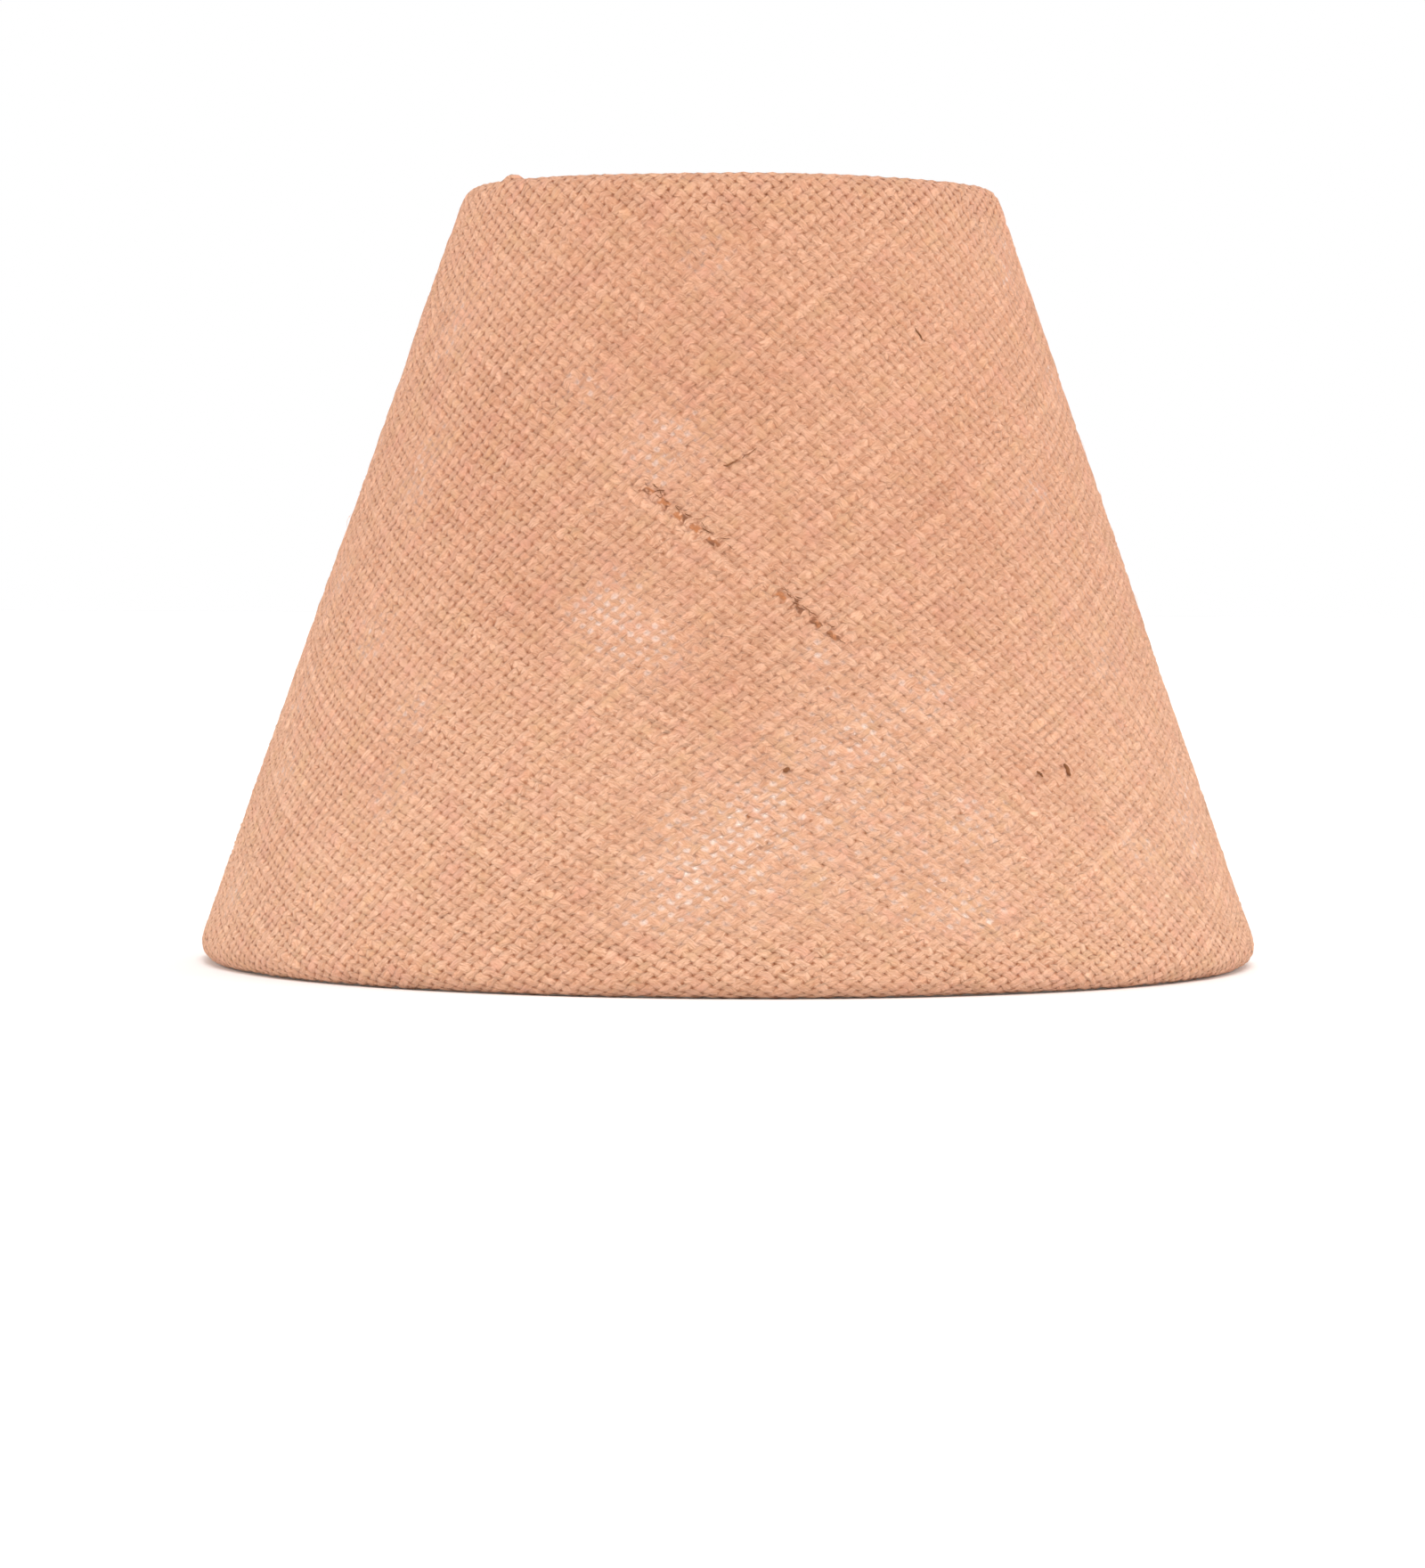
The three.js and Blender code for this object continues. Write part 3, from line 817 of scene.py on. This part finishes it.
def addFibre(work, rng, x, y, heading, length, thickness, lift, curl, sides=3):
    bends = 5
    steps = np.linspace(0, 1, bends + 1)
    turned = heading + curl * (steps - 0.5) + 0.25 * rng.normal(size=bends + 1)
    hops = length / bends
    along = np.concatenate([[0], np.cumsum(np.cos(turned[1:]) * hops)])
    up = np.concatenate([[0], np.cumsum(np.sin(turned[1:]) * hops)])
    outs = cloth["relief"] * 0.8 + lift * np.sin(steps * math.pi * rng.uniform(0.55, 1.0))
    addSpindle(work, flatToShade(x + along, y + up, outs), thickness * mm, sides)


def pieceFromWork(work, name, material):
    mesh = bpy.data.meshes.new(name)
    bmesh.ops.recalc_face_normals(work, faces=work.faces)
    work.to_mesh(mesh)
    work.free()
    return finishPiece(addObject(name, mesh), name, material)


strayFibres = dict(
    count=520, thickness=0.10, lengths=(2.0, 8.0), lift=0.9, curl=1.6,  # mm, and radians
    besideSeam=0.3, aboveRim=4, dark="d9a684", pale="f3cdb2", seed=21,
)


def looseFibre(name, first, second):
    # Single jute fibre or bark: dry and matt, finely mottled between two browns
    material, tree = newMaterial(name)
    place = addNode(tree, "ShaderNodeTexCoord").outputs["Object"]
    mottle = addNode(tree, "ShaderNodeTexNoise", {}, {"Vector": place, "Scale": 900.0, "Detail": 2.0})
    tint = addNode(tree, "ShaderNodeMix", {"data_type": "RGBA"}, {
        "Factor": mottle.outputs["Fac"], "A": linearColour(first), "B": linearColour(second)})
    shader = addNode(tree, "ShaderNodeBsdfPrincipled", {}, {
        "Base Color": tint.outputs["Result"], "Roughness": 0.85, "Specular IOR Level": 0.2})
    addNode(tree, "ShaderNodeOutputMaterial", {}, {"Surface": shader.outputs["BSDF"]})
    return material


def makeStrayFibres():
    rng = np.random.default_rng(strayFibres["seed"])
    work = bmesh.new()
    for _ in range(strayFibres["count"]):
        turn = rng.uniform(startAngle + strayFibres["besideSeam"], endAngle - strayFibres["besideSeam"])
        station = slant * (1 - math.sqrt(rng.uniform(0.12, 1.0)))  # thickest low down, none near the top
        x, y = polarToFlat(turn, station + strayFibres["aboveRim"])
        length = rng.uniform(*strayFibres["lengths"])
        addFibre(work, rng, x, y, rng.uniform(0, 2 * math.pi), length, strayFibres["thickness"],
                 strayFibres["lift"] * rng.uniform(0.2, 1), rng.normal() * strayFibres["curl"])
    fibre = looseFibre("single_jute_fibre", strayFibres["dark"], strayFibres["pale"])
    return pieceFromWork(work, "stray_fibres", fibre)


bark = dict(
    flecks=[  # caught in the yarn: flat place, heading in degrees, length and thickness in mm
        (52.5, 193.5, -50, 4.6, 0.50), (98, 76, -60, 3.6, 1.3), (90, 70.5, 150, 2.4, 0.8),
        (14, 63, 20, 1.8, 1.4), (-2, 148, 18, 4.2, 0.55), (3, 150, 35, 5.0, 0.28),
    ],
    fleckLift=0.12, curl=0.5,
    frayedEnds=18, endLengths=(1.2, 2.8), endThickness=(0.18, 0.34), endLift=0.15,  # beside the slub
    aside=0.5, fan=0.5,  # how far those stand off its line, in mm and radians
    dark="5f3a24", pale="a06a46", seed=33,
)


def makeBark():
    rng = np.random.default_rng(bark["seed"])
    work = bmesh.new()
    for x, y, heading, length, thickness in bark["flecks"]:
        addFibre(work, rng, x, y, math.radians(heading), length, thickness,
                 bark["fleckLift"], bark["curl"], sides=6)
    for (x0, y0), (x1, y1) in patches["slub"]:
        heading = math.atan2(y1 - y0, x1 - x0)
        for share in rng.uniform(0.05, 0.95, bark["frayedEnds"]):
            aside = rng.normal(size=2) * bark["aside"]
            addFibre(work, rng, x0 + (x1 - x0) * share + aside[0], y0 + (y1 - y0) * share + aside[1],
                     heading + rng.normal() * bark["fan"], rng.uniform(*bark["endLengths"]),
                     rng.uniform(*bark["endThickness"]), bark["endLift"], bark["curl"])
    return pieceFromWork(work, "bark_and_slub", looseFibre("jute_bark", bark["dark"], bark["pale"]))


def makeCloth(material):
    mesh = trimmedCloth()
    shapeCloth(mesh)
    piece = addObject("cover_cloth", mesh)
    back = piece.vertex_groups.new(name="back_of_cloth").name
    applyModifier(piece, "SOLIDIFY", thickness=cloth["thickness"] * mm, offset=-1, use_even_offset=False,
                  shell_vertex_group=back)
    applyModifier(piece, "DECIMATE", ratio=cloth["keptShare"], vertex_group=back)  # only its back is thinned
    piece.vertex_groups.clear()
    finishPiece(piece, "cover_cloth", material, ["cover"], smoothAngle=60)
    triangles = sum(len(face.vertices) - 2 for face in piece.data.polygons)
    print("cloth is rolled, lapped and turned in:", triangles, "triangles")
    makeStrayFibres()
    makeBark()


makeCloth(juteHessian())
print("cloth, stray fibres and bark are in place")

# Liner: a sheet of white plastic, rolled with its ends lapped at the back
linerSheet = dict(
    thickness=0.5, inside=2.3,  # mm, and how far its inner face stands out from the ring centres
    pitch=0.8, lap=12 / 150,    # mm that it spirals out in one turn, and radians of lap
    edgeRound=0.12, stepsAround=288, stepsUp=24,
)


def laminatedPlastic():
    # Rigid PVC shade lining, calendered: white and softly glossy with a fine leathery grain,
    # and a breath of yellow near the top, where the bulb's heat collects
    material, tree = newMaterial("calendered_pvc_liner")
    place = addNode(tree, "ShaderNodeTexCoord").outputs["Object"]
    grain = addNode(tree, "ShaderNodeTexVoronoi", {"feature": "SMOOTH_F1"}, {
        "Vector": place, "Scale": 1400.0})
    cloudy = addNode(tree, "ShaderNodeTexNoise", {}, {"Vector": place, "Scale": 18.0, "Detail": 3.0})
    parts = addNode(tree, "ShaderNodeSeparateXYZ", {}, {"Vector": place})
    heat = addNode(tree, "ShaderNodeMapRange", {"interpolation_type": "SMOOTHSTEP"}, {
        "Value": parts.outputs["Z"], "From Min": 0.08, "From Max": 0.22, "To Max": 0.7})
    warm = addNode(tree, "ShaderNodeMath", {"operation": "MULTIPLY"}, {
        0: heat.outputs["Result"], 1: cloudy.outputs["Fac"]})
    tint = addNode(tree, "ShaderNodeMix", {"data_type": "RGBA"}, {
        "Factor": warm.outputs[0], "A": linearColour("f3f0ea"), "B": linearColour("eee2c4")})
    bump = addNode(tree, "ShaderNodeBump", {}, {
        "Height": grain.outputs["Distance"], "Distance": 0.05 * mm})
    shader = addNode(tree, "ShaderNodeBsdfPrincipled", {}, {
        "Base Color": tint.outputs["Result"], "Normal": bump.outputs["Normal"],
        "Roughness": 0.42, "IOR": 1.53})
    addNode(tree, "ShaderNodeOutputMaterial", {}, {"Surface": shader.outputs["BSDF"]})
    return material


def makeLiner(material):
    around, up = linerSheet["stepsAround"], linerSheet["stepsUp"]
    turn = 2 * math.pi + linerSheet["lap"]
    work = bmesh.new()
    rows = []
    for i in range(around + 1):
        angle = turn * i / around
        out = linerSheet["inside"] + linerSheet["pitch"] * angle / (2 * math.pi)
        facing = math.pi - linerSheet["lap"] / 2 + angle
        column = []
        for j in range(up + 1):
            radius, height = sidePoint(bottomRing, slant * j / up, out)
            column.append(work.verts.new(Vector((
                radius * math.sin(facing), -radius * math.cos(facing), height)) * mm))
        rows.append(column)
    for i in range(around):
        for j in range(up):
            work.faces.new((rows[i][j], rows[i + 1][j], rows[i + 1][j + 1], rows[i][j + 1]))
    mesh = bpy.data.meshes.new("liner_sheet")
    work.to_mesh(mesh)
    work.free()
    piece = addObject("liner_sheet", mesh)
    applyModifier(piece, "SOLIDIFY", thickness=linerSheet["thickness"] * mm, offset=1)
    applyModifier(piece, "BEVEL", width=linerSheet["edgeRound"] * mm, segments=2,
                  limit_method="ANGLE", angle_limit=math.radians(60))
    finishPiece(piece, "liner_sheet", material, ["liner"], smoothAngle=40)


makeLiner(laminatedPlastic())
print("liner is rolled")


# Frame: rings, arms and carrier ring, spot welded and painted white
def paintedSteel():
    # Mild steel wire and plate, dipped in white enamel: soft gloss, slightly rippled, and greyer in
    # patches where the coat is thin
    material, tree = newMaterial("white_enamelled_steel")
    place = addNode(tree, "ShaderNodeTexCoord").outputs["Object"]
    ripple = addNode(tree, "ShaderNodeTexNoise", {}, {"Vector": place, "Scale": 420.0, "Detail": 2.0})
    patchy = addNode(tree, "ShaderNodeTexNoise", {}, {"Vector": place, "Scale": 60.0, "Detail": 4.0})
    wear = addNode(tree, "ShaderNodeMapRange", {"interpolation_type": "SMOOTHSTEP"}, {
        "Value": patchy.outputs["Fac"], "From Min": 0.56, "From Max": 0.74})
    tint = addNode(tree, "ShaderNodeMix", {"data_type": "RGBA"}, {
        "Factor": wear.outputs["Result"], "A": linearColour("efede7"), "B": linearColour("dcd8cd")})
    gloss = addNode(tree, "ShaderNodeMapRange", {}, {
        "Value": patchy.outputs["Fac"], "To Min": 0.28, "To Max": 0.45})
    bump = addNode(tree, "ShaderNodeBump", {}, {
        "Height": ripple.outputs["Fac"], "Distance": 0.06 * mm, "Strength": 0.8})
    shader = addNode(tree, "ShaderNodeBsdfPrincipled", {}, {
        "Base Color": tint.outputs["Result"], "Normal": bump.outputs["Normal"],
        "Roughness": gloss.outputs["Result"], "IOR": 1.5})
    shader.inputs["Coat Weight"].default_value = 0.25
    addNode(tree, "ShaderNodeOutputMaterial", {}, {"Surface": shader.outputs["BSDF"]})
    return material


ringShape = dict(
    stepsAround=160, stepsRound=18,
    weldAngle=0.35, weldSwell=0.18, weldLength=2.2,  # radians before the back, share of the wire, mm
)


def makeRing(name, node, ring, material):  # round wire bent to a ring and butt welded
    deselectAll()
    bpy.ops.mesh.primitive_torus_add(
        major_segments=ringShape["stepsAround"], minor_segments=ringShape["stepsRound"],
        major_radius=ring[0] * mm, minor_radius=wireSize["ring"] / 2 * mm, location=(0, 0, ring[1] * mm))
    piece = bpy.context.object
    for vertex in piece.data.vertices:
        angle = math.atan2(vertex.co.x, -vertex.co.y)
        fromWeld = (angle - math.pi + ringShape["weldAngle"]) * ring[0]
        middle = Vector((vertex.co.x, vertex.co.y, 0)).normalized() * ring[0] * mm
        swell = ringShape["weldSwell"] * math.exp(-(fromWeld / ringShape["weldLength"]) ** 2)
        vertex.co += (vertex.co - middle) * swell
    finishPiece(piece, name, material, [node])


carrier = dict(
    hole=42.0, reach=29.0, plate=1.2, cornerRadius=1.6, edgeRound=0.25,  # mm; the reach is a radius
    stepsAround=120, cornerSteps=6,
)


def makeCarrier(material):  # pressed from plate: a flat seat round the hole, its outer edge turned down
    low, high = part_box("carrier_ring")
    deselectAll()
    bpy.ops.mesh.primitive_circle_add(
        vertices=carrier["stepsAround"], radius=carrier["hole"] / 2 * mm, location=(0, 0, high.z))
    piece = bpy.context.object
    bpy.ops.object.mode_set(mode="EDIT")
    corner = carrier["cornerRadius"]
    grow = (carrier["reach"] - corner) / (carrier["hole"] / 2)
    bpy.ops.mesh.extrude_edges_move()
    bpy.ops.transform.resize(value=(grow, grow, 1), center_override=(0, 0, high.z))
    stepTurn = math.pi / 2 / carrier["cornerSteps"]
    for step in range(1, carrier["cornerSteps"] + 1):  # round the pressed corner
        angle = stepTurn * step
        reach = carrier["reach"] - corner + corner * math.sin(angle)
        before = carrier["reach"] - corner + corner * math.sin(angle - stepTurn)
        drop = corner * (math.cos(angle - stepTurn) - math.cos(angle))
        bpy.ops.mesh.extrude_edges_move(TRANSFORM_OT_translate={"value": (0, 0, -drop * mm)})
        share = reach / before
        bpy.ops.transform.resize(value=(share, share, 1), center_override=(0, 0, 0))
    bpy.ops.mesh.extrude_edges_move(TRANSFORM_OT_translate={
        "value": (0, 0, low.z + corner * mm - high.z)})
    bpy.ops.mesh.select_all(action="SELECT")
    bpy.ops.mesh.normals_make_consistent(inside=False)
    bpy.ops.object.mode_set(mode="OBJECT")
    applyModifier(piece, "SOLIDIFY", thickness=carrier["plate"] * mm, offset=-1)
    applyModifier(piece, "BEVEL", width=carrier["edgeRound"] * mm, segments=2,
                  limit_method="ANGLE", angle_limit=math.radians(50))
    finishPiece(piece, "carrier_plate", material, ["carrier_ring"], smoothAngle=40)


armShape = dict(
    footIn=3.8, bend=5.0, level=17.2, end=29.3,  # in from the bottom ring, bend radius, height, end's radius
    sides=16, bendSteps=8,
    beadSize=1.9, beadShape=(1.15, 0.75, 0.8),
    ringBeadIn=2.2, endBeadIn=0.3, endBeadDown=0.4,
)


def makeArm():  # an arm at the front of the frame, bent from straight wire
    foot = bottomRing - outSide * armShape["footIn"]
    riser = (armShape["level"] - foot[1]) / upSide[1]
    corner = foot + upSide * riser
    turn = math.pi / 2 - coneAngle
    setback = armShape["bend"] * math.tan(turn / 2)
    straight = riser - setback
    deselectAll()
    bpy.ops.mesh.primitive_circle_add(
        vertices=armShape["sides"], radius=wireSize["arm"] / 2 * mm, fill_type="NGON",
        location=(0, -foot[0] * mm, foot[1] * mm), rotation=(-coneAngle, 0, 0))
    piece = bpy.context.object
    bpy.ops.object.mode_set(mode="EDIT")
    bpy.ops.mesh.extrude_region_move(TRANSFORM_OT_translate={
        "value": (0, -upSide[0] * straight * mm, upSide[1] * straight * mm)})
    bendCentre = (0, -(corner[0] - setback) * mm, (armShape["level"] - armShape["bend"]) * mm)
    bpy.ops.mesh.spin(steps=armShape["bendSteps"], angle=turn, center=bendCentre, axis=(1, 0, 0))
    inward = corner[0] - setback - armShape["end"]
    bpy.ops.mesh.extrude_region_move(TRANSFORM_OT_translate={"value": (0, inward * mm, 0)})
    bpy.ops.mesh.select_all(action="DESELECT")
    # Weld beads: at the ring, and at the carrier's flange
    atRing = bottomRing - outSide * armShape["ringBeadIn"]
    atCarrier = (armShape["end"] - armShape["endBeadIn"], armShape["level"] - armShape["endBeadDown"])
    for radius, height in (atRing, atCarrier):
        place = (0, -radius * mm, height * mm)
        bpy.ops.mesh.primitive_uv_sphere_add(
            segments=16, ring_count=10, radius=armShape["beadSize"] * mm, location=place)
        bpy.ops.transform.resize(value=armShape["beadShape"], center_override=place)
    bpy.ops.mesh.select_all(action="SELECT")
    bpy.ops.mesh.normals_make_consistent(inside=False)
    bpy.ops.object.mode_set(mode="OBJECT")
    return piece


def makeArms(material):  # three turned copies of the first, which is then taken away
    first = makeArm()
    makeActive(first)
    bpy.ops.object.transform_apply(location=True, rotation=True, scale=True)
    for number in (1, 2, 3):
        piece = first.copy()
        piece.data = first.data.copy()
        bpy.context.scene.collection.objects.link(piece)
        # Arm 1 stands at the back and the others follow, a third of a turn apart
        piece.data.transform(Matrix.Rotation(math.pi + (number - 1) * 2 * math.pi / 3, 4, "Z"))
        finishPiece(piece, f"arm_wire_{number}", material, [f"arm_{number}"])
    bpy.data.objects.remove(first)


enamel = paintedSteel()
makeRing("top_ring_wire", "top_ring", topRing, enamel)
makeRing("bottom_ring_wire", "bottom_ring", bottomRing, enamel)
makeCarrier(enamel)
makeArms(enamel)
print("frame is bent and welded")
